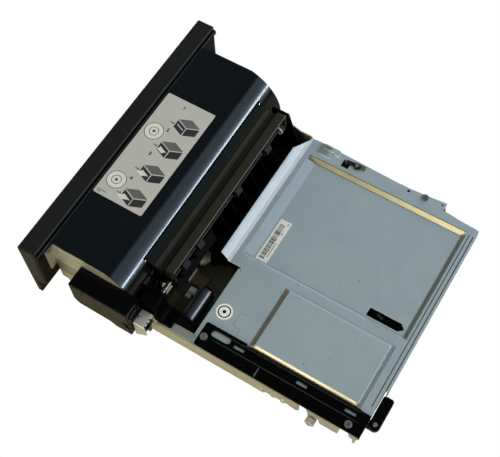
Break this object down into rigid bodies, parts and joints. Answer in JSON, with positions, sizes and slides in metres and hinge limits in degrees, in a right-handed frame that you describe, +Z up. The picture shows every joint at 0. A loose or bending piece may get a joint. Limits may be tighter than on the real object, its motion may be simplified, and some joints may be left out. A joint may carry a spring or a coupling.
{
  "type": "bill validator",
  "caption": "Page-wide slide-in note transport unit: long fascia with a note slot, nosed cover, hinged jam flap, feed rollers and a steel-covered holding tray.",
  "frame": {"origin": "middle of the unit's base, at the height of the surface it stands on", "axes": "+X along the fascia towards the drive side, +Y from the fascia to the rear, +Z up"},
  "size_m": [0.3, 0.3506, 0.088],
  "materials": {
    "fascia_plastic": "fine moulded texture",
    "cover_plastic": "polished moulding",
    "black_plastic": "satin moulding",
    "zinc_steel": "zinc-plated sheet",
    "bright_steel": "ground shaft steel",
    "rubber": "ground rubber",
    "roller_black": "polished roller",
    "ivory_plastic": "natural acetal",
    "bush_plastic": "natural acetal",
    "brass": "stamped brass",
    "felt": "brown felt",
    "grey_plastic": "light grey moulding",
    "board": "solder-masked board",
    "glass": "clear strip",
    "motor_metal": "dark plated can",
    "belt_rubber": "moulded belt",
    "label_silver": "printed silver film",
    "label_white": "printed white film"
  },
  "bodies": {
    "root": {"front_fascia": "fascia_plastic", "fascia_backplate": "black_plastic", "top_cover": "cover_plastic", "instruction_label": "label_silver", "flap_pins": "bright_steel", "side_plate_near": "zinc_steel", "side_plate_far": "zinc_steel", "base_pan": "zinc_steel", "glide_runners": "black_plastic", "inner_frame_near": "black_plastic", "inner_frame_far": "black_plastic", "near_guard": "black_plastic", "drive_cover": "cover_plastic", "side_bracket": "zinc_steel", "metal_cover": "zinc_steel", "cover_rail": "black_plastic", "rail_screws": "zinc_steel", "cover_screws": "zinc_steel", "barcode_label": "label_white", "badge_label": "label_white", "steel_clips": "zinc_steel", "upper_guide": "black_plastic", "lower_guide": "black_plastic", "ribbed_guide": "black_plastic", "sensor_block": "grey_plastic", "felt_pad": "felt", "roller_bracket": "black_plastic", "drive_motor": "motor_metal", "drive_belt": "belt_rubber", "pinch_springs": "bright_steel", "shaft_bushes": "bush_plastic", "image_sensor_bar": "black_plastic", "sensor_glass": "glass", "control_board": "board", "dock_connector": "black_plastic", "tray_sensor": "black_plastic", "pivot_pins": "bright_steel", "guide_studs": "bright_steel"},
    "jam_flap": {"jam_flap": "black_plastic"},
    "flap_idlers": {"flap_idlers": "bright_steel"},
    "feed_roller": {"feed_shaft": "bright_steel", "feed_tyres": "rubber", "feed_gear": "bush_plastic", "feed_pulley": "grey_plastic"},
    "motor_rotor": {"motor_pinion": "bright_steel"},
    "exit_roller": {"exit_shaft": "bright_steel", "exit_tyres": "rubber", "exit_pulley": "grey_plastic"},
    "pinch_roller": {"pinch_shaft": "bright_steel", "pinch_rollers": "rubber"},
    "guide_roller": {"guide_roller": "roller_black", "guide_roller_shaft": "bright_steel"},
    "centring_rack": {"centring_rack": "ivory_plastic"},
    "centring_pinion": {"centring_pinion": "ivory_plastic"},
    "rear_latch": {"latch_lever": "black_plastic"},
    "side_latch": {"side_latch": "brass"},
    "bracket_plunger": {"bracket_plunger": "black_plastic"},
    "sensor_flag": {"sensor_flag": "black_plastic"},
    "guide_wheel_near": {"guide_wheel_near": "bush_plastic"},
    "guide_wheel_far": {"guide_wheel_far": "bush_plastic"}
  },
  "joints": [
    {"name": "flap_hinge", "type": "hinge", "parent": "root", "child": "jam_flap", "pos_m": [0, -0.0758, 0.0695], "axis": [1, 0, 0], "range_deg": [0, 60]},
    {"name": "idler_spin", "type": "hinge", "parent": "jam_flap", "child": "flap_idlers", "pos_m": [0, -0.0493, 0.0673], "axis": [1, 0, 0], "continuous": true},
    {"name": "feed_spin", "type": "hinge", "parent": "root", "child": "feed_roller", "pos_m": [0, -0.1093, 0.0495], "axis": [1, 0, 0], "continuous": true},
    {"name": "motor_spin", "type": "hinge", "parent": "root", "child": "motor_rotor", "pos_m": [0, -0.0901, 0.0495], "axis": [1, 0, 0], "continuous": true},
    {"name": "exit_spin", "type": "hinge", "parent": "root", "child": "exit_roller", "pos_m": [0, -0.0493, 0.056], "axis": [1, 0, 0], "continuous": true},
    {"name": "pinch_spin", "type": "hinge", "parent": "root", "child": "pinch_roller", "pos_m": [0, -0.1093, 0.0643], "axis": [1, 0, 0], "continuous": true},
    {"name": "guide_roller_spin", "type": "hinge", "parent": "root", "child": "guide_roller", "pos_m": [0, -0.0248, 0.025], "axis": [1, 0, 0], "continuous": true},
    {"name": "rack_slide", "type": "slide", "parent": "root", "child": "centring_rack", "axis": [1, 0, 0], "range_m": [-0.01, 0]},
    {"name": "pinion_spin", "type": "hinge", "parent": "root", "child": "centring_pinion", "pos_m": [0.0463, -0.0495, 0.0175], "axis": [0, 0, 1], "range_deg": [-80, 5]},
    {"name": "rear_latch_turn", "type": "hinge", "parent": "root", "child": "rear_latch", "pos_m": [0.1102, 0.1704, 0.024], "axis": [0, 0, -1], "range_deg": [0, 90]},
    {"name": "side_latch_turn", "type": "hinge", "parent": "root", "child": "side_latch", "pos_m": [-0.1094, 0.0325, 0.033], "axis": [0, 0, 1], "range_deg": [-7, 7], "stiffness_Nm_per_rad": 0.01},
    {"name": "plunger_press", "type": "slide", "parent": "root", "child": "bracket_plunger", "axis": [0, -1, 0], "range_m": [0, 0.003], "stiffness_N_per_m": 60},
    {"name": "flag_press", "type": "hinge", "parent": "root", "child": "sensor_flag", "pos_m": [0.019, 0.1457, 0.024], "axis": [1, 0, 0], "range_deg": [0, 12], "stiffness_Nm_per_rad": 0.02, "springref_deg": -5.73},
    {"name": "near_wheel_spin", "type": "hinge", "parent": "root", "child": "guide_wheel_near", "pos_m": [0.133, 0.1187, 0.014], "axis": [1, 0, 0], "continuous": true},
    {"name": "far_wheel_spin", "type": "hinge", "parent": "root", "child": "guide_wheel_far", "pos_m": [-0.122, 0.1187, 0.014], "axis": [1, 0, 0], "continuous": true}
  ],
  "couplings": [
    {"joint": "motor_spin", "follows": "feed_spin", "ratio": -3},
    {"joint": "exit_spin", "follows": "feed_spin", "ratio": 1},
    {"joint": "pinion_spin", "follows": "rack_slide", "rad_per_m": 125}
  ]
}
